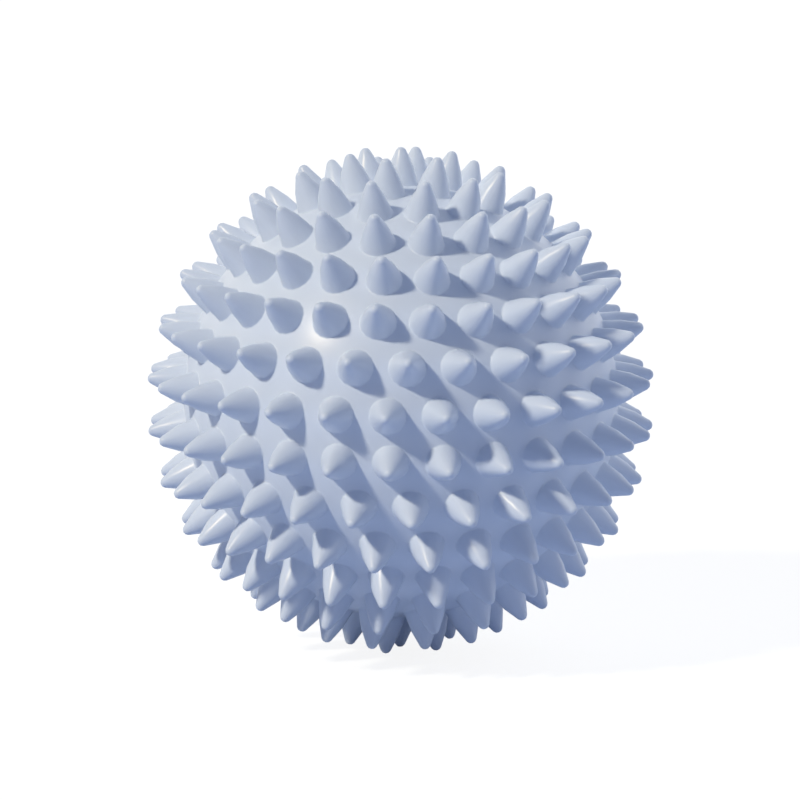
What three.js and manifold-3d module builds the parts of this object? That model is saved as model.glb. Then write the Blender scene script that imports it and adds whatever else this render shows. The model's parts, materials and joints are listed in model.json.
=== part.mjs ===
// Spiky massage ball: a hollow skin of soft vinyl, moulded as two halves that are welded at the
// equator, with an air valve at the back: a soft bush in the wall and a plug that pulls out of it.
// Millimetres, +Z up along the axis of the rings of spikes, origin at the centre of the ball.
// The front of the ball faces -Y.
import * as THREE from 'three';
import { ConvexHull } from 'three/addons/math/ConvexHull.js';
import { mergeVertices } from 'three/addons/utils/BufferGeometryUtils.js';
import Module from 'manifold-3d';

// Skin
const ballDiameter = 76.8; // without the spikes
const wall = 3;
const lapHeight = 2.4; // tongue of the lower half inside the upper one

// Spikes: a flank arc that runs into a round tip
const spikeHeight = 6.6;
const spikeBaseDiameter = 6.2;
const spikeTipRadius = 1;
const spikeFlankRadius = 20;

// Spikes in each ring of one half, from the equator to the single spike at the pole.
// Every ring has its first spike close to one shared meridian.
const ringCounts = [27, 26, 25, 22, 17, 12, 6, 1];
const ringTurns = [-0.4, -0.5, 0.1, -0.4, -0.9, -0.3, -0.3, 0]; // degrees out of step with it
const firstMeridian = 133.8; // degrees from +X

// Air valve, in place of the first spike of one ring of the upper half
const valveRing = 1;
const plugHeadDiameter = 6.6;
const plugHeadThickness = 1.2;
const plugHeadCrown = 0.3; // how far the head is domed
const plugStemDiameter = 2.8;
const plugStemLength = 8.4;
const plugBeadHeight = 0.2; // sealing beads round the stem
const plugBeadDepths = [4.2, 2.1]; // below the head
const bushDiameter = 5.8;
const bushFlangeDiameter = 9;
const bushFlangeThickness = 1.2;
const bossDiameter = 10.4;
const bossDepth = 3.2; // below the inside of the wall

// Clearances
const seatGap = 0.3; // between pieces that are bonded or rest on each other
const slideGap = 0.2; // round the plug's beads

// Facets
const spikeSides = 7;
const flankSteps = 2;
const rimSegments = 54;
const cavitySegments = 32;
const valveSegments = 16;
const roundingSteps = 3;

const quarterTurn = Math.PI / 2;
const ballRadius = ballDiameter / 2;
const cavityRadius = ballRadius - wall;
const lapRadius = ballRadius - wall / 2; // where tongue and rebate meet
const ringPitch = quarterTurn / (ringCounts.length - 0.5); // the equator is midway between two rings

const wasm = await Module();
wasm.setup();

// A closed geometry as a solid that can be joined and cut
function solid(geometry) {
  const plain = geometry.clone();
  plain.deleteAttribute('normal');
  plain.deleteAttribute('uv');
  const { index, attributes } = mergeVertices(plain, 1e-4);
  const faces = [];
  for (let i = 0; i < index.count; i += 3) {
    const [a, b, c] = index.array.slice(i, i + 3);
    if (a !== b && b !== c && c !== a) faces.push(a, b, c);
  }
  return new wasm.Manifold(new wasm.Mesh({
    numProp: 3,
    vertProperties: attributes.position.array,
    triVerts: new Uint32Array(faces),
  }));
}

function geometryOf(body) {
  const mesh = body.getMesh();
  const geometry = new THREE.BufferGeometry();
  geometry.setAttribute('position', new THREE.BufferAttribute(mesh.vertProperties, 3));
  geometry.setIndex(new THREE.BufferAttribute(mesh.triVerts, 1));
  geometry.computeVertexNormals();
  return geometry;
}

// Revolves an outline of [radius, height] points about +Z
function revolve(outline, segments) {
  const points = outline.map((point) => new THREE.Vector2(...point));
  return new THREE.LatheGeometry(points, segments).rotateX(quarterTurn);
}

function rod(radius, from, to, segments) {
  return revolve([[0, from], [radius, from], [radius, to], [0, to]], segments);
}

// Points of an arc about [x, y], both ends included
function arc([x, y], radius, from, to, steps) {
  return Array.from({ length: steps + 1 }, (_, i) => {
    const angle = from + ((to - from) * i) / steps;
    return [x + radius * Math.cos(angle), y + radius * Math.sin(angle)];
  });
}

// A ring of corners round +Z, turned to its place on the ball
function circle(radius, height, sides, turn) {
  return Array.from({ length: sides }, (_, i) => {
    const angle = (2 * Math.PI * (i + 0.5)) / sides;
    return new THREE.Vector3(radius * Math.cos(angle), radius * Math.sin(angle), height)
      .applyMatrix4(turn);
  });
}

// Turns +Z to the place of a spike, counted along its ring from the first meridian
function spikeTurn(ring, k) {
  const latitude = (ring + 0.5) * ringPitch;
  const start = THREE.MathUtils.degToRad(ringTurns[ring]);
  const longitude = start + (2 * Math.PI * k) / ringCounts[ring];
  const euler = new THREE.Euler(0, quarterTurn - latitude, longitude, 'ZYX');
  return new THREE.Matrix4().makeRotationFromEuler(euler);
}

// Height from the centre of the ball at which a flat foot has its edge on the skin
function footHeight(radius) {
  return Math.sqrt(ballRadius ** 2 - radius ** 2);
}

// Rings of one spike, as [radius, height from the centre of the ball], from its foot to its shoulder.
// The flank's arc starts at the foot's edge and is tangent to the circle of the tip.
function spikeRings() {
  const base = new THREE.Vector2(spikeBaseDiameter / 2, footHeight(spikeBaseDiameter / 2));
  const tip = new THREE.Vector2(0, ballRadius + spikeHeight - spikeTipRadius);
  const chord = tip.clone().sub(base);
  const span = chord.length();
  const reach = spikeFlankRadius - spikeTipRadius;
  const along = (spikeFlankRadius ** 2 - reach ** 2 + span ** 2) / (2 * span);
  const across = Math.sqrt(spikeFlankRadius ** 2 - along ** 2);
  const inward = new THREE.Vector2(-chord.y, chord.x);
  const centre = base.clone()
    .addScaledVector(chord, along / span)
    .addScaledVector(inward, across / span);
  const from = Math.atan2(base.y - centre.y, base.x - centre.x);
  const to = Math.atan2(tip.y - centre.y, tip.x - centre.x);
  return arc(centre.toArray(), spikeFlankRadius, from, to, flankSteps);
}

// Half of the ball, closed by its flat side: the spikes, and between their feet the facets of a hull.
// On the half with the valve one foot stays bare, as the flat pad under the plug's head.
function spikedDome(hasValve) {
  const corners = [];
  const tipOf = new Map();
  const bareEdges = circle(ballRadius, 0, rimSegments, new THREE.Matrix4());
  const rings = spikeRings();
  ringCounts.forEach((count, ring) => {
    for (let k = 0; k < count; k += 1) {
      const turn = spikeTurn(ring, k);
      if (hasValve && ring === valveRing && k === 0) {
        bareEdges.push(...circle(padRadius, padHeight, valveSegments, turn));
        continue;
      }
      const loops = rings.map(([radius, height]) => circle(radius, height, spikeSides, turn));
      const tip = new THREE.Vector3(0, 0, ballRadius + spikeHeight).applyMatrix4(turn);
      loops[0].forEach((corner) => tipOf.set(corner, tip));
      for (let i = 0; i < spikeSides; i += 1) {
        const next = (i + 1) % spikeSides;
        for (let level = 0; level < flankSteps; level += 1) {
          const [low, high] = [loops[level], loops[level + 1]];
          corners.push(low[i], low[next], high[next], low[i], high[next], high[i]);
        }
        corners.push(loops[flankSteps][i], loops[flankSteps][next], tip);
      }
    }
  });
  const hull = new ConvexHull().setFromPoints([...bareEdges, ...tipOf.keys()]);
  for (const { edge } of hull.faces) {
    const face = [edge, edge.next, edge.next.next].map((side) => side.head().point);
    const tips = face.map((corner) => tipOf.get(corner));
    const isFoot = tips[0] && tips[0] === tips[1] && tips[0] === tips[2];
    if (!isFoot) corners.push(...face);
  }
  return solid(new THREE.BufferGeometry().setFromPoints(corners));
}

// Hollow of either half: a dome with a straight mouth that reaches past the tongue
function cavity() {
  return solid(revolve([
    [0, -lapHeight - wall],
    [cavityRadius, -lapHeight - wall],
    ...arc([0, 0], cavityRadius, 0, quarterTurn, cavitySegments / 4),
  ], cavitySegments));
}

// Valve heights along its own axis, from the centre of the ball
const valveTurn = spikeTurn(valveRing, 0);
const padRadius = plugHeadDiameter / 2 + seatGap;
const padHeight = footHeight(padRadius);
const bossEnd = cavityRadius - bossDepth;

function valveRod(radius, from, to) {
  return solid(rod(radius, from, to, valveSegments).applyMatrix4(valveTurn));
}

// Upper half: a rebate for the tongue, and a boss inside that holds the valve
function upperShell() {
  const rebate = rod(lapRadius + seatGap / 2, -wall, lapHeight + seatGap, rimSegments);
  const boss = valveRod(bossDiameter / 2, bossEnd, ballRadius - wall / 2);
  const hole = valveRod(bushDiameter / 2 + seatGap, bossEnd - wall, ballRadius + wall);
  return geometryOf(
    spikedDome(true).subtract(cavity()).subtract(solid(rebate)).add(boss).subtract(hole),
  );
}

// Lower half, made with its pole up: the inner part of its wall runs on as a tongue
function lowerShell() {
  const tongue = rod(lapRadius - seatGap / 2, -lapHeight, wall, rimSegments);
  return geometryOf(spikedDome(false).add(solid(tongue)).subtract(cavity()));
}

// Soft bush: a tube in the boss, held from inside by its flange
function valveBush() {
  const bore = plugStemDiameter / 2 + plugBeadHeight + slideGap;
  const flangeTop = bossEnd - seatGap;
  const flangeBottom = flangeTop - bushFlangeThickness;
  const top = padHeight - seatGap;
  return revolve([
    [bore, flangeBottom],
    [bushFlangeDiameter / 2, flangeBottom],
    [bushFlangeDiameter / 2, flangeTop],
    [bushDiameter / 2, flangeTop],
    [bushDiameter / 2, top],
    [bore, top],
    [bore, flangeBottom],
  ], valveSegments);
}

// Plug: a low domed head on a stem with sealing beads and a round nose
function valvePlug() {
  const head = plugHeadDiameter / 2;
  const stem = plugStemDiameter / 2;
  const headBottom = padHeight + seatGap;
  const edge = plugHeadThickness / 2;
  const noseCentre = headBottom - plugStemLength + stem;
  const beadHalf = 2 * plugBeadHeight;
  const beads = plugBeadDepths.flatMap((depth) => [
    [stem, headBottom - depth - beadHalf],
    [stem + plugBeadHeight, headBottom - depth],
    [stem, headBottom - depth + beadHalf],
  ]);
  return revolve([
    ...arc([0, noseCentre], stem, -quarterTurn, 0, roundingSteps),
    ...beads,
    [stem, headBottom],
    [head, headBottom],
    ...arc([head - edge, headBottom + edge], edge, 0, quarterTurn, roundingSteps),
    [0, headBottom + plugHeadThickness + plugHeadCrown],
  ], valveSegments);
}

const skinVinyl = { color: 0xb4c1dc, roughness: 0.42, metalness: 0 };
const bushRubber = { color: 0xd9dce2, roughness: 0.6, metalness: 0 };
const plugVinyl = { color: 0xeceef2, roughness: 0.35, metalness: 0 };

function piece(name, geometry, finish) {
  const mesh = new THREE.Mesh(geometry, new THREE.MeshStandardMaterial(finish));
  mesh.name = name;
  return mesh;
}

// Turned over about the first meridian, the lower half has its rings almost in step with the upper ones
const lower = piece('lower_shell', lowerShell(), skinVinyl);
lower.rotation.x = Math.PI;

const valve = new THREE.Group();
valve.applyMatrix4(valveTurn);
valve.add(
  piece('valve_bush', valveBush(), bushRubber),
  piece('valve_plug', valvePlug(), plugVinyl),
);

const ball = new THREE.Group();
ball.name = 'spiky_massage_ball';
ball.rotation.z = THREE.MathUtils.degToRad(firstMeridian);
ball.add(piece('upper_shell', upperShell(), skinVinyl), lower, valve);

export default ball;
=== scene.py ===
import json
import math

import bmesh
import bpy
from mathutils import Matrix, Vector
from mathutils.geometry import delaunay_2d_cdt


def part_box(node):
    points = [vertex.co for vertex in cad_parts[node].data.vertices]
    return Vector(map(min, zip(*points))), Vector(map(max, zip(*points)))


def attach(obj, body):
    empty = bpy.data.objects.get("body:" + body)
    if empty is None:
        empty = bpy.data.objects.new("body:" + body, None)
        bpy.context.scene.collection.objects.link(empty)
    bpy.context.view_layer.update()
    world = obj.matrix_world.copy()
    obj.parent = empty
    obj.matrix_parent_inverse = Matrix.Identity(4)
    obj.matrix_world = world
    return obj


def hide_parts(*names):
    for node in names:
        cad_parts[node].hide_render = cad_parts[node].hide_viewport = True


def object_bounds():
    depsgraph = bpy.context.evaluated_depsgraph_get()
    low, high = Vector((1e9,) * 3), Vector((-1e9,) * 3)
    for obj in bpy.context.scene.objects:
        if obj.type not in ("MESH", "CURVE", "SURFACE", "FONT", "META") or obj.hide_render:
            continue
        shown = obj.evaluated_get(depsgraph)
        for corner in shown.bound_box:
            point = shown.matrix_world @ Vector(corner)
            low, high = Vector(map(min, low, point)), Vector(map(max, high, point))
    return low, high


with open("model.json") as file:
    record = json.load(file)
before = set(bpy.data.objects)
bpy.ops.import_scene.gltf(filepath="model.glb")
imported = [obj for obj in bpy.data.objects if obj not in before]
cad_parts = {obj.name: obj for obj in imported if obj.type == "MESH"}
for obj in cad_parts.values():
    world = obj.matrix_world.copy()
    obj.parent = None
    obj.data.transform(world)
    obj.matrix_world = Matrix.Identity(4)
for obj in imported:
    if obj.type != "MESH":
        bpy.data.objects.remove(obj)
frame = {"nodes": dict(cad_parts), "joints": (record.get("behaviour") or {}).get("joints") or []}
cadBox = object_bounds()
print("frame loaded:", ", ".join(sorted(frame["nodes"])))

touch = 1e-6        # points closer than this are the same, in metres


class Wire:
    # a socket of a node tree: arithmetic on it adds Math nodes
    def __init__(self, tree, socket=None):
        self.tree = tree
        self.socket = socket

    # any other node: its type, then its settings, then values or wires for its sockets
    def node(self, kind, settings=None, inputs=None, output=0):
        made = self.tree.nodes.new(kind)
        for name, value in (settings or {}).items():
            setattr(made, name, value)
        for name, value in (inputs or {}).items():
            sources = value if isinstance(value, list) else [value]
            for source in sources:
                if isinstance(source, Wire):
                    self.tree.links.new(source.socket, made.inputs[name])
                else:
                    made.inputs[name].default_value = source
        return Wire(self.tree, made.outputs[output] if made.outputs else None)

    # another output of the same node
    def other(self, name):
        return Wire(self.tree, self.socket.node.outputs[name])

    def math(self, operation, *values):
        return self.node("ShaderNodeMath", {"operation": operation}, dict(enumerate(values)))

    def __add__(self, other):
        return self.math("ADD", self, other)

    def __radd__(self, other):
        return self.math("ADD", other, self)

    def __sub__(self, other):
        return self.math("SUBTRACT", self, other)

    def __rsub__(self, other):
        return self.math("SUBTRACT", other, self)

    def __mul__(self, other):
        return self.math("MULTIPLY", self, other)

    def __rmul__(self, other):
        return self.math("MULTIPLY", other, self)

    def __truediv__(self, other):
        return self.math("DIVIDE", self, other)

    def __rtruediv__(self, other):
        return self.math("DIVIDE", other, self)

    def __lt__(self, other):
        return self.math("LESS_THAN", self, other)

    def __gt__(self, other):
        return self.math("GREATER_THAN", self, other)


# materials

vinyl = {
    "pale": (0.690, 0.745, 0.840, 1),
    "deep": (0.660, 0.720, 0.828, 1),
    "clouding": 70,         # slow drift of the colour, per metre
    "grain": 1400,          # fine moulded grain, per metre
    "gloss": 0.28,
    "glossTint": (1.0, 0.88, 0.70, 1),
    "roughness": 0.31,
    "roughnessDrift": 0.04,
    "grainDepth": 0.000002,
}
bushRubber = {
    "pale": (0.66, 0.67, 0.70, 1),
    "deep": (0.58, 0.59, 0.62, 1),
    "clouding": 240,
    "grain": 2600,
    "gloss": 0.3,
    "glossTint": (1, 1, 1, 1),
    "roughness": 0.55,
    "roughnessDrift": 0.10,
    "grainDepth": 0.00002,
}
plugVinyl = {
    "pale": (0.80, 0.81, 0.83, 1),
    "deep": (0.74, 0.76, 0.79, 1),
    "clouding": 260,
    "grain": 2200,
    "gloss": 0.3,
    "glossTint": (1, 1, 1, 1),
    "roughness": 0.38,
    "roughnessDrift": 0.08,
    "grainDepth": 0.000012,
}


# moulded soft plastic: a slow drift of colour, and a fine grain in gloss and surface
def softPlastic(name, look):
    material = bpy.data.materials.new(name)
    material.use_nodes = True
    tree = material.node_tree
    tree.nodes.clear()
    graph = Wire(tree)
    place = graph.node("ShaderNodeTexCoord", output="Object")
    cloud = graph.node("ShaderNodeTexNoise", inputs={
        "Vector": place, "Scale": look["clouding"], "Detail": 3, "Roughness": 0.55})
    grain = graph.node("ShaderNodeTexNoise", inputs={
        "Vector": place, "Scale": look["grain"], "Detail": 2, "Roughness": 0.5})
    # the sockets for colours come after those for plain numbers and vectors
    colour = graph.node("ShaderNodeMix", {"data_type": "RGBA"}, {
        0: cloud, 6: look["pale"], 7: look["deep"]}, output=2)
    dullness = look["roughness"] + (cloud - 0.5 + (grain - 0.5)) * look["roughnessDrift"]
    bump = graph.node("ShaderNodeBump", inputs={
        "Height": grain, "Strength": 0.5, "Distance": look["grainDepth"]})
    surface = graph.node("ShaderNodeBsdfPrincipled", inputs={
        "Base Color": colour, "Roughness": dullness, "Normal": bump,
        "IOR": 1.5, "Specular IOR Level": look["gloss"], "Specular Tint": look["glossTint"]})
    graph.node("ShaderNodeOutputMaterial", inputs={"Surface": surface})
    return material


skinMaterial = softPlastic("skinVinyl", vinyl)
bushMaterial = softPlastic("bushRubber", bushRubber)
plugMaterial = softPlastic("plugVinyl", plugVinyl)
print("materials made")

# the ball

spikes = {
    "height": 0.0066,
    "foot": 0.0031,         # radius where a spike meets the skin
    "tip": 0.001,           # radius of its round tip
    "flank": 0.020,         # radius of its bulged side
    "fillet": 0.00025,      # how far the rounding at the foot runs out over the skin
    "sides": 16,
    "filletSteps": 2,
    "flankSteps": 2,
    "tipSteps": 2,
    "ringCounts": [27, 26, 25, 22, 17, 12, 6, 1],   # from the equator to the pole
    "ringTurns": [-0.4, -0.5, 0.1, -0.4, -0.9, -0.3, -0.3, 0],      # degrees out of step
}
skin = {
    "wall": 0.003,
    "rimSides": 108,
    "pointLevel": 6,        # subdivisions of the sphere that gives the skin its points
    "footRoom": 1.35,       # how far those keep from the middle of a spike, in radii of its foot
    "rimRoom": 0.35,        # and from the rim
    "lapHeight": 0.0024,    # tongue of the lower half inside the upper one
    "lapGap": 0.0003,
    "cavitySides": 64,
    "sharpAngle": 50,       # degrees past which an edge stays crisp
}
valve = {
    "ring": 1,              # it takes the first place of this ring of the upper half
    "sides": 48,
    "pad": 0.0036,          # radius of the flat under the plug's head
    "hole": 0.0032,         # radius
    "boss": 0.0052,         # radius
    "bossDepth": 0.0032,    # below the inside of the wall
    "seatGap": 0.0003,      # between bush or plug and what it seats on
}

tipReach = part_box("upper_shell")[1].z
ballRadius = tipReach - spikes["height"]
cavityRadius = ballRadius - skin["wall"]
valveAxis = Vector(frame["joints"][0]["axis"])
valveTurn = math.radians(spikes["ringTurns"][valve["ring"]])
firstMeridian = math.atan2(valveAxis.y, valveAxis.x) - valveTurn    # every ring starts close to it
ringPitch = math.radians(90) / (len(spikes["ringCounts"]) - 0.5)


# a node tree with one mesh output and an input for each size
def newTree(name, sizes):
    tree = bpy.data.node_groups.new(name, "GeometryNodeTree")
    tree.interface.new_socket("Mesh", in_out="OUTPUT", socket_type="NodeSocketGeometry")
    kinds = {float: "NodeSocketFloat", int: "NodeSocketInt", bpy.types.Material: "NodeSocketMaterial"}
    for label, value in sizes.items():
        tree.interface.new_socket(label, in_out="INPUT", socket_type=kinds[type(value)])
    entry = tree.nodes.new("NodeGroupInput")
    return tree, {label: Wire(tree, entry.outputs[label]) for label in sizes}


# the plain mesh that a tree gives for these sizes
def meshFromTree(tree, sizes):
    holder = bpy.data.objects.new(tree.name, bpy.data.meshes.new(tree.name))
    bpy.context.scene.collection.objects.link(holder)
    modifier = holder.modifiers.new(tree.name, "NODES")
    for item in tree.interface.items_tree:
        if item.in_out == "INPUT":
            modifier[item.identifier] = sizes[item.name]
    modifier.node_group = tree
    return finishedMesh(holder)


# takes an object out of the scene and keeps the mesh that its modifiers give
def finishedMesh(holder):
    graph = bpy.context.evaluated_depsgraph_get()
    mesh = bpy.data.meshes.new_from_object(holder.evaluated_get(graph))
    bpy.data.objects.remove(holder)
    return mesh


spikeSizes = {
    "Ball Radius": ballRadius,
    "Spike Height": spikes["height"],
    "Foot Radius": spikes["foot"],
    "Tip Radius": spikes["tip"],
    "Flank Radius": spikes["flank"],
    "Fillet": spikes["fillet"],
    "Spike Sides": spikes["sides"],
    "Rim Sides": skin["rimSides"],
    "Point Level": skin["pointLevel"],
    "Half": 1.0,            # 1 for the upper half, -1 for the lower one
    "Pad Radius": valve["pad"],
    "Pad Sides": valve["sides"],
    "Material": skinMaterial,
}


# the rings of spikes of one half, the rim, the edge of the valve pad and loose points on the skin between
def spikeTree():
    tree, size = newTree("spikeRings", spikeSizes)
    graph = Wire(tree)
    radius = size["Ball Radius"]
    foot = size["Foot Radius"]
    tip = size["Tip Radius"]
    flank = size["Flank Radius"]
    fillet = size["Fillet"]
    half = size["Half"]

    # outline of a spike: a flank arc that starts at the foot's edge and runs into the circle of the tip
    footHeight = graph.math("SQRT", radius * radius - foot * foot)
    tipCentre = radius + size["Spike Height"] - tip
    rise = tipCentre - footHeight
    span = graph.math("SQRT", rise * rise + foot * foot)
    reach = flank - tip
    along = (flank * flank - reach * reach + span * span) / (2 * span)
    across = graph.math("SQRT", flank * flank - along * along)
    centreOut = foot - (foot * along + rise * across) / span
    centreUp = footHeight + (rise * along - foot * across) / span
    fromAngle = graph.math("ARCTAN2", footHeight - centreUp, foot - centreOut) + fillet / flank
    toAngle = graph.math("ARCTAN2", tipCentre - centreUp, 0 - centreOut)

    # one spike, from a tube whose levels are set on that outline; the lowest make the fillet, which
    # curves from the flank to the skin and is drawn to the corner between them
    filletSteps = spikes["filletSteps"]
    flankSteps = spikes["flankSteps"]
    steps = filletSteps + flankSteps + spikes["tipSteps"]
    tube = graph.node("GeometryNodeMeshCylinder", {"fill_type": "NONE"}, {
        "Vertices": size["Spike Sides"], "Side Segments": steps, "Radius": 1, "Depth": steps})
    position = graph.node("GeometryNodeInputPosition")
    height = graph.node("ShaderNodeSeparateXYZ", inputs={"Vector": position}, output="Z")
    levels = height + (steps / 2 - filletSteps)
    onFlank = graph.math("MINIMUM", graph.math("MAXIMUM", levels / flankSteps, 0), 1)
    onTip = graph.math("MAXIMUM", (levels - flankSteps) / spikes["tipSteps"], 0)
    onFillet = graph.math("MINIMUM", graph.math("MAXIMUM", 0 - levels / filletSteps, 0), 1)
    edge = foot + fillet
    angle = fromAngle + (toAngle - fromAngle) * onFlank + (math.pi / 2 - toAngle) * onTip
    isTip = onTip > 0
    arc = flank + (tip - flank) * isTip
    out = centreOut * (1 - isTip) + arc * graph.math("COSINE", angle)
    up = centreUp + (tipCentre - centreUp) * isTip + arc * graph.math("SINE", angle)
    toCorner = 2 * onFillet * (1 - onFillet)
    toEdge = onFillet * onFillet
    edgeHeight = graph.math("SQRT", radius * radius - edge * edge)
    out = out + (foot - out) * toCorner + (edge - out) * toEdge
    up = up + (footHeight - up) * toCorner + (edgeHeight - up) * toEdge - radius
    outward = graph.node("ShaderNodeVectorMath", {"operation": "MULTIPLY"}, {
        0: position, 1: graph.node("ShaderNodeCombineXYZ", inputs={"X": out, "Y": out})})
    placed = graph.node("ShaderNodeVectorMath", {"operation": "ADD"}, {
        0: outward, 1: graph.node("ShaderNodeCombineXYZ", inputs={"Z": up})})
    shaped = graph.node("GeometryNodeSetPosition", inputs={"Geometry": tube, "Position": placed})
    spike = graph.node("GeometryNodeMergeByDistance", inputs={"Geometry": shaped, "Distance": touch})

    # places of the spikes, ring by ring
    places = []
    for ring, count in enumerate(spikes["ringCounts"]):
        latitude = (ring + 0.5) * ringPitch
        lift = graph.node("ShaderNodeCombineXYZ", inputs={"Z": half * radius * math.sin(latitude)})
        if count == 1:
            places.append(graph.node("GeometryNodeMeshLine", inputs={"Count": 1, "Start Location": lift}))
            continue
        circle = graph.node("GeometryNodeMeshCircle", inputs={
            "Vertices": count, "Radius": radius * math.cos(latitude)})
        start = half * math.radians(spikes["ringTurns"][ring]) + firstMeridian
        turned = graph.node("GeometryNodeTransform", inputs={
            "Geometry": circle, "Translation": lift,
            "Rotation": graph.node("ShaderNodeCombineXYZ", inputs={"Z": start})})
        if ring == valve["ring"]:
            index = graph.node("GeometryNodeInputIndex")
            isValve = (index < 0.5) * (half > 0)
            padPlace = graph.node("GeometryNodeSeparateGeometry", inputs={
                "Geometry": turned, "Selection": isValve})
            turned = padPlace.other("Inverted")
        places.append(turned)
    spikePlaces = graph.node("GeometryNodeJoinGeometry", inputs={"Geometry": places})
    upright = graph.node("FunctionNodeAlignRotationToVector", {"axis": "Z"}, {"Vector": position})
    allSpikes = graph.node("GeometryNodeInstanceOnPoints", inputs={
        "Points": spikePlaces, "Instance": spike, "Rotation": upright})

    # edge of the flat pad under the plug's head
    pad = size["Pad Radius"]
    sink = graph.math("SQRT", radius * radius - pad * pad) - radius
    padEdge = graph.node("GeometryNodeTransform", inputs={
        "Geometry": graph.node("GeometryNodeMeshCircle", inputs={
            "Vertices": size["Pad Sides"], "Radius": pad}),
        "Translation": graph.node("ShaderNodeCombineXYZ", inputs={"Z": sink})})
    padRing = graph.node("GeometryNodeInstanceOnPoints", inputs={
        "Points": padPlace, "Instance": padEdge, "Rotation": upright})

    # points of the skin that lie clear of every foot, the pad and the rim
    sphere = graph.node("GeometryNodeMeshIcoSphere", inputs={
        "Radius": radius, "Subdivisions": size["Point Level"]})
    bare = graph.node("GeometryNodeDeleteGeometry", {"domain": "EDGE", "mode": "EDGE_FACE"}, {
        "Geometry": sphere})
    feet = graph.node("GeometryNodeJoinGeometry", inputs={"Geometry": [spikePlaces, padPlace]})
    nearest = graph.node("GeometryNodeProximity", {"target_element": "POINTS"}, {
        "Geometry": feet, "Sample Position": position}, output="Distance")
    nearRim = height * half < foot * skin["rimRoom"]
    crowded = graph.math("MAXIMUM", nearest < foot * skin["footRoom"], nearRim)
    points = graph.node("GeometryNodeDeleteGeometry", {"domain": "POINT"}, {
        "Geometry": bare, "Selection": crowded})

    rim = graph.node("GeometryNodeMeshCircle", inputs={"Vertices": size["Rim Sides"], "Radius": radius})
    together = graph.node("GeometryNodeJoinGeometry", inputs={
        "Geometry": [allSpikes, padRing, points, rim]})
    real = graph.node("GeometryNodeRealizeInstances", inputs={"Geometry": together})
    finished = graph.node("GeometryNodeSetMaterial", inputs={
        "Geometry": real, "Material": size["Material"]})
    graph.node("NodeGroupOutput", inputs={"Mesh": finished})
    return tree


# one mark for all corners of the same foot, pad or rim
def loopMarks(edges):
    marks = {}
    for edge in edges:
        waiting = [edge.verts[0]]
        while waiting:
            vert = waiting.pop()
            if vert not in marks:
                marks[vert] = edge
                for link in vert.link_edges:
                    if len(link.link_faces) < 2:
                        waiting.extend(link.verts)
    return marks


# joins the feet, the rim and the pad by a skin whose corners all lie on the ball
def fillSkin(mesh, half):
    bm = bmesh.new()
    bm.from_mesh(mesh)
    edges = [edge for edge in bm.edges if len(edge.link_faces) < 2]
    corners = [vert for vert in bm.verts if abs(vert.co.length - ballRadius) < touch]
    order = {vert: i for i, vert in enumerate(corners)}
    marks = loopMarks(edges)
    # seen from the far pole, circles on the ball stay circles, so a flat triangulation serves
    flat = [vert.co.xy / (ballRadius + half * vert.co.z) for vert in corners]
    bounds = [tuple(order[vert] for vert in edge.verts) for edge in edges]
    triangles, origins = delaunay_2d_cdt(flat, bounds, [], 0, 1e-9)[2:4]    # 0 keeps all triangles
    for triangle in triangles:
        verts = [corners[origins[i][0]] for i in triangle]
        if len({marks.get(vert, vert) for vert in verts}) > 1:
            bm.faces.new(verts)
    # the pad and the underside are flat
    bmesh.ops.holes_fill(bm, edges=[edge for edge in bm.edges if edge.is_boundary])
    bmesh.ops.recalc_face_normals(bm, faces=bm.faces)
    bm.to_mesh(mesh)
    bm.free()


# revolves an outline of (radius, height) points about +Z, or about the valve's axis
def spun(name, outline, sides, onValve=False):
    bm = bmesh.new()
    verts = [bm.verts.new((out, 0, up)) for out, up in outline]
    edges = [bm.edges.new(pair) for pair in zip(verts, verts[1:])]
    bmesh.ops.spin(
        bm, geom=verts + edges, axis=(0, 0, 1), cent=(0, 0, 0), steps=sides, angle=2 * math.pi)
    bmesh.ops.remove_doubles(bm, verts=bm.verts, dist=touch)
    bmesh.ops.recalc_face_normals(bm, faces=bm.faces)
    if onValve:
        turn = Vector((0, 0, 1)).rotation_difference(valveAxis)
        bmesh.ops.rotate(bm, verts=bm.verts, matrix=turn.to_matrix())
    mesh = bpy.data.meshes.new(name)
    bm.to_mesh(mesh)
    bm.free()
    return mesh


def rod(name, radius, low, high, sides, onValve=False):
    return spun(name, [(0, low), (radius, low), (radius, high), (0, high)], sides, onValve)


def arc(out, up, radius, fromAngle, toAngle, steps):
    turns = [math.radians(fromAngle + (toAngle - fromAngle) * i / steps) for i in range(steps + 1)]
    return [(out + radius * math.cos(turn), up + radius * math.sin(turn)) for turn in turns]


# cuts and joins, in order, as [operation, mesh]
def carved(mesh, changes):
    holder = bpy.data.objects.new("carved", mesh)
    bpy.context.scene.collection.objects.link(holder)
    helpers = []
    for operation, tool in changes:
        helper = bpy.data.objects.new(tool.name, tool)
        bpy.context.scene.collection.objects.link(helper)
        helpers.append(helper)
        modifier = holder.modifiers.new(tool.name, "BOOLEAN")
        modifier.operation = operation
        modifier.solver = "MANIFOLD"
        modifier.object = helper
    result = finishedMesh(holder)
    for helper in helpers:
        bpy.data.objects.remove(helper)
    # cuts leave points on top of each other
    bm = bmesh.new()
    bm.from_mesh(result)
    bmesh.ops.remove_doubles(bm, verts=bm.verts, dist=touch)
    bm.to_mesh(result)
    bm.free()
    return result


# smooth, with crisp edges where pieces were cut
def shade(mesh):
    mesh.shade_smooth()
    mesh.set_sharp_from_angle(angle=math.radians(skin["sharpAngle"]))


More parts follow.
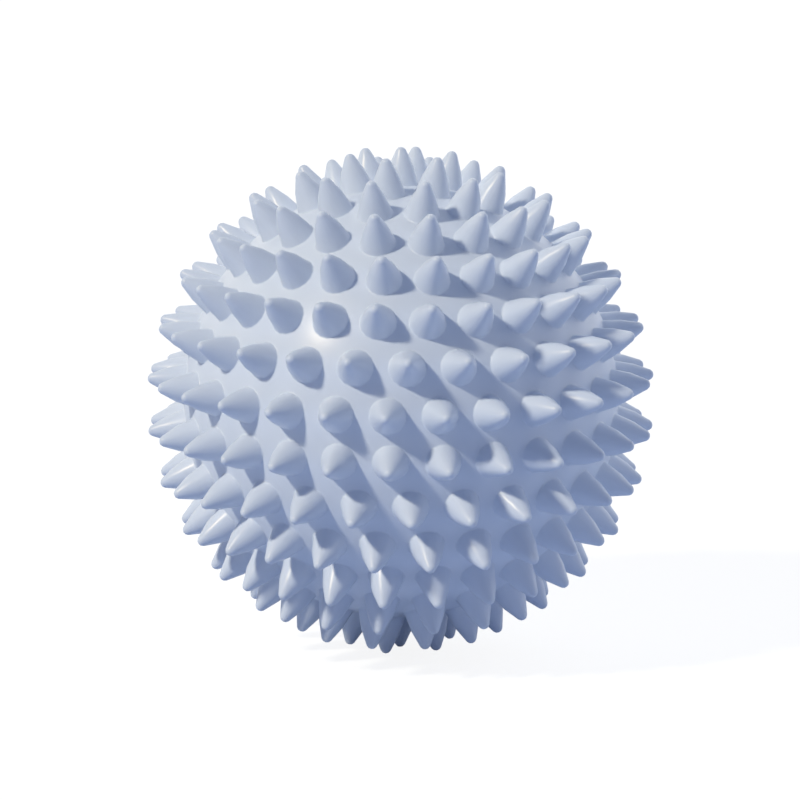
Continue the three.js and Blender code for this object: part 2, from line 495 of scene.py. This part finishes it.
# gives the skin the ball's own normals, and the spikes those of their larger faces
def shadeSkin(mesh):
    shade(mesh)
    normals = [corner.vector.copy() for corner in mesh.corner_normals]
    reach = [vert.co.length - ballRadius for vert in mesh.vertices]
    outer = [polygon for polygon in mesh.polygons if min(reach[i] for i in polygon.vertices) > -touch]
    leaning = {}
    for polygon in outer:
        for i in polygon.vertices:
            leaning[i] = leaning.get(i, Vector()) + polygon.area * polygon.normal
    for polygon in outer:
        for loop, i in zip(polygon.loop_indices, polygon.vertices):
            normals[loop] = (leaning[i] if reach[i] > touch else mesh.vertices[i].co).normalized()
    mesh.normals_split_custom_set(normals)


def addPiece(name, mesh, material, body, node):
    mesh.name = name
    mesh.materials.clear()
    mesh.materials.append(material)
    piece = bpy.data.objects.new(name, mesh)
    bpy.context.scene.collection.objects.link(piece)
    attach(piece, body)
    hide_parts(node)
    print(name, "has", len(mesh.polygons), "faces")


tree = spikeTree()
upperMesh = meshFromTree(tree, {**spikeSizes, "Half": 1.0})
fillSkin(upperMesh, 1)
lowerMesh = meshFromTree(tree, {**spikeSizes, "Half": -1.0})
fillSkin(lowerMesh, -1)

lapRadius = ballRadius - skin["wall"] / 2
bossEnd = cavityRadius - valve["bossDepth"]
lapGap = skin["lapGap"]
cavityHalf = arc(0, 0, cavityRadius, -90, 90, skin["cavitySides"] // 2)
cavity = spun("cavity", cavityHalf, skin["cavitySides"])
rebate = rod(
    "rebate", lapRadius + lapGap / 2, -skin["wall"], skin["lapHeight"] + lapGap, skin["rimSides"])
tongue = rod("tongue", lapRadius - lapGap / 2, -skin["wall"], skin["lapHeight"], skin["rimSides"])
boss = rod("boss", valve["boss"], bossEnd, ballRadius - skin["wall"] / 2, valve["sides"], True)
hole = rod("hole", valve["hole"], bossEnd - skin["wall"], ballRadius + skin["wall"], valve["sides"], True)

upperMesh = carved(upperMesh, [
    ["DIFFERENCE", cavity], ["DIFFERENCE", rebate], ["UNION", boss], ["DIFFERENCE", hole]])
lowerMesh = carved(lowerMesh, [["UNION", tongue], ["DIFFERENCE", cavity]])
shadeSkin(upperMesh)
shadeSkin(lowerMesh)
addPiece("upper_skin", upperMesh, skinMaterial, "ball", "upper_shell")
addPiece("lower_skin", lowerMesh, skinMaterial, "ball", "lower_shell")

# the valve, by heights along its axis from the centre of the ball

padHeight = math.sqrt(ballRadius ** 2 - valve["pad"] ** 2)

bushSizes = {
    "radius": 0.0029,
    "bore": 0.0018,         # radius
    "flange": 0.0045,       # radius
    "flangeThickness": 0.0012,
    "round": 0.00025,       # of its edges
    "roundSteps": 4,
}


def bushMesh():
    radius = bushSizes["radius"]
    bore = bushSizes["bore"]
    flange = bushSizes["flange"]
    edge = bushSizes["round"]
    steps = bushSizes["roundSteps"]
    top = padHeight - valve["seatGap"]
    flangeTop = bossEnd - valve["seatGap"]
    flangeBottom = flangeTop - bushSizes["flangeThickness"]
    return spun("bush", [
        (bore, flangeBottom + edge),
        (bore + edge, flangeBottom),
        *arc(flange - edge, flangeBottom + edge, edge, -90, 0, steps),
        *arc(flange - edge, flangeTop - edge, edge, 0, 90, steps),
        (radius, flangeTop),
        *arc(radius - edge, top - edge, edge, 0, 90, steps),
        (bore + edge, top),
        (bore, top - edge),
        (bore, flangeBottom + edge),
    ], valve["sides"], True)


plugSizes = {
    "head": 0.0033,         # radius
    "headThickness": 0.0012,
    "headRound": 0.0002,    # at its lower edge
    "headSteps": 8,
    "headCrown": 0.0003,    # how far it is domed
    "crownSteps": 6,
    "neckRound": 0.0003,    # between head and stem
    "stem": 0.0014,         # radius
    "stemLength": 0.0084,
    "noseSteps": 8,
    "bead": 0.0002,         # how far a sealing bead stands out
    "beadDepths": [0.0042, 0.0021],     # below the head
    "beadTurns": [0, 30, 60, 90, 120, 150, 180],
}


def plugMesh():
    head = plugSizes["head"]
    stem = plugSizes["stem"]
    neck = plugSizes["neckRound"]
    bead = plugSizes["bead"]
    edge = plugSizes["headThickness"] / 2
    headBottom = padHeight + valve["seatGap"]
    nose = headBottom - plugSizes["stemLength"] + stem
    beads = []
    for depth in plugSizes["beadDepths"]:
        for turn in plugSizes["beadTurns"]:
            swell = bead * math.sin(math.radians(turn))
            drop = depth + 2 * bead * math.cos(math.radians(turn))
            beads.append((stem + swell, headBottom - drop))
    crown = []
    for step in range(plugSizes["crownSteps"], -1, -1):
        share = step / plugSizes["crownSteps"]
        rise = 2 * edge + plugSizes["headCrown"] * (1 - share * share)
        crown.append(((head - edge) * share, headBottom + rise))
    return spun("plug", [
        *arc(0, nose, stem, -90, 0, plugSizes["noseSteps"]),
        *beads,
        (stem, headBottom - neck),
        (stem + neck, headBottom),
        (head - plugSizes["headRound"], headBottom),
        *arc(head - edge, headBottom + edge, edge, -60, 90, plugSizes["headSteps"])[:-1],
        *crown,
    ], valve["sides"], True)


bush = bushMesh()
shade(bush)
addPiece("bush", bush, bushMaterial, "ball", "valve_bush")
plug = plugMesh()
shade(plug)
addPiece("plug", plug, plugMaterial, "plug", "valve_plug")

# floor, light and camera

stage = {
    "floorSize": 12,
    "white": 0.88,          # the floor's own white, to which the light on it adds the rest
    "shade": (0.2, 0.2, 0.2, 1),
    "pale": (0.75, 0.78, 0.84, 1),      # its colour in the ball's gloss
    "bounce": (0.46, 0.55, 0.77, 1),    # and as it lights the ball from below
}
key = {
    "from": (-0.619, -0.447, 0.645),    # towards the lamp
    "strength": 2.18,
    "width": 5.5,           # degrees, as seen from the ball
    "colour": (1.0, 0.94, 0.77),
}
fills = {
    # soft light of the studio: the middle of where it comes from, and its colour there
    "backRight": [(0.77, 0.64, 0), (1.76, 1.79, 1.80)],
    "left": [(-1, 0, 0), (0.22, 0.20, 0.18)],
    "above": [(0, 0, 1), (0.05, 0.13, 0.32)],
    "front": [(0, -1, 0), (0.14, 0.17, 0.28)],
    "backdrop": [(0, 1, 0), (0.90, 0.95, 1.00)],
}


# the camera sees the floor white with a faint shadow, the ball's gloss sees it pale with its real shadow,
# and it throws bluish light back on the ball
def floorMaterial():
    material = bpy.data.materials.new("paleFloor")
    material.use_nodes = True
    tree = material.node_tree
    tree.nodes.clear()
    graph = Wire(tree)
    camera = graph.node("ShaderNodeLightPath", output="Is Camera Ray")
    seen = graph.math("MAXIMUM", camera, camera.other("Is Transmission Ray"))
    white = graph.node("ShaderNodeEmission", inputs={"Strength": stage["white"]})
    shaded = graph.node("ShaderNodeBsdfDiffuse", inputs={"Color": stage["shade"]})
    shown = graph.node("ShaderNodeAddShader", inputs={0: white, 1: shaded})
    pale = graph.node("ShaderNodeBsdfDiffuse", inputs={"Color": stage["pale"]})
    bounce = graph.node("ShaderNodeBsdfDiffuse", inputs={"Color": stage["bounce"]})
    glossy = camera.other("Is Glossy Ray")
    unseen = graph.node("ShaderNodeMixShader", inputs={0: glossy, 1: bounce, 2: pale})
    surface = graph.node("ShaderNodeMixShader", inputs={0: seen, 1: unseen, 2: shown})
    graph.node("ShaderNodeOutputMaterial", inputs={"Surface": surface})
    return material


def addFloor():
    bm = bmesh.new()
    bmesh.ops.create_grid(bm, x_segments=1, y_segments=1, size=stage["floorSize"] / 2)
    bmesh.ops.translate(bm, verts=bm.verts, vec=(0, 0, cadBox[0][2]))
    mesh = bpy.data.meshes.new("floor")
    bm.to_mesh(mesh)
    bm.free()
    mesh.materials.append(floorMaterial())
    floor = bpy.data.objects.new("floor", mesh)
    bpy.context.scene.collection.objects.link(floor)


def addKey():
    lamp = bpy.data.lights.new("key", "SUN")
    lamp.energy = key["strength"]
    lamp.angle = math.radians(key["width"])
    lamp.color = key["colour"]
    sun = bpy.data.objects.new("key", lamp)
    sun.rotation_euler = Vector(key["from"]).to_track_quat("Z", "Y").to_euler()
    bpy.context.scene.collection.objects.link(sun)


# white where it is seen, and soft light from the fills otherwise
def addWorld():
    world = bpy.data.worlds.new("studio")
    world.use_nodes = True
    tree = world.node_tree
    tree.nodes.clear()
    graph = Wire(tree)
    direction = graph.node("ShaderNodeTexCoord", output="Generated")
    total = (0, 0, 0)
    for source, colour in fills.values():
        facing = graph.node("ShaderNodeVectorMath", {"operation": "DOT_PRODUCT"}, {
            0: direction, 1: source}, output="Value")
        # a fill fades with the square of the cosine to the sides
        share = graph.math("POWER", graph.math("MAXIMUM", facing, 0), 2)
        light = graph.node("ShaderNodeVectorMath", {"operation": "SCALE"}, {
            0: colour, "Scale": share})
        total = graph.node("ShaderNodeVectorMath", {"operation": "ADD"}, {0: total, 1: light})
    fill = graph.node("ShaderNodeBackground", inputs={"Color": total, "Strength": 1})
    white = graph.node("ShaderNodeBackground", inputs={"Color": (1, 1, 1, 1), "Strength": 1})
    camera = graph.node("ShaderNodeLightPath", output="Is Camera Ray")
    mirrored = graph.math("MAXIMUM", camera.other("Is Glossy Ray"), camera.other("Is Transmission Ray"))
    seen = graph.math("MAXIMUM", camera, mirrored)
    mixed = graph.node("ShaderNodeMixShader", inputs={0: seen, 1: fill, 2: white})
    graph.node("ShaderNodeOutputWorld", inputs={"Surface": mixed})
    bpy.context.scene.world = world


view = {
    "distance": 0.720,
    "pitch": 10.3,          # degrees that it looks down
    "roll": 0.12,
    "lens": 182.9,
    "sensor": 36,
    "clipStart": 0.01,
    "target": (-0.00010, 0, -0.00008),
}


def addCamera():
    lens = bpy.data.cameras.new("camera")
    lens.lens = view["lens"]
    lens.sensor_width = view["sensor"]
    lens.clip_start = view["clipStart"]
    camera = bpy.data.objects.new("camera", lens)
    pitch = math.radians(view["pitch"])
    back = Vector((0, -math.cos(pitch), math.sin(pitch)))
    camera.location = Vector(view["target"]) + view["distance"] * back
    tilt = Matrix.Rotation(math.radians(90) - pitch, 3, "X")
    camera.rotation_euler = (tilt @ Matrix.Rotation(math.radians(view["roll"]), 3, "Z")).to_euler()
    bpy.context.scene.collection.objects.link(camera)
    bpy.context.scene.camera = camera


addFloor()
addKey()
addWorld()
addCamera()
bpy.context.scene.view_settings.view_transform = "Standard"
print("stage set")
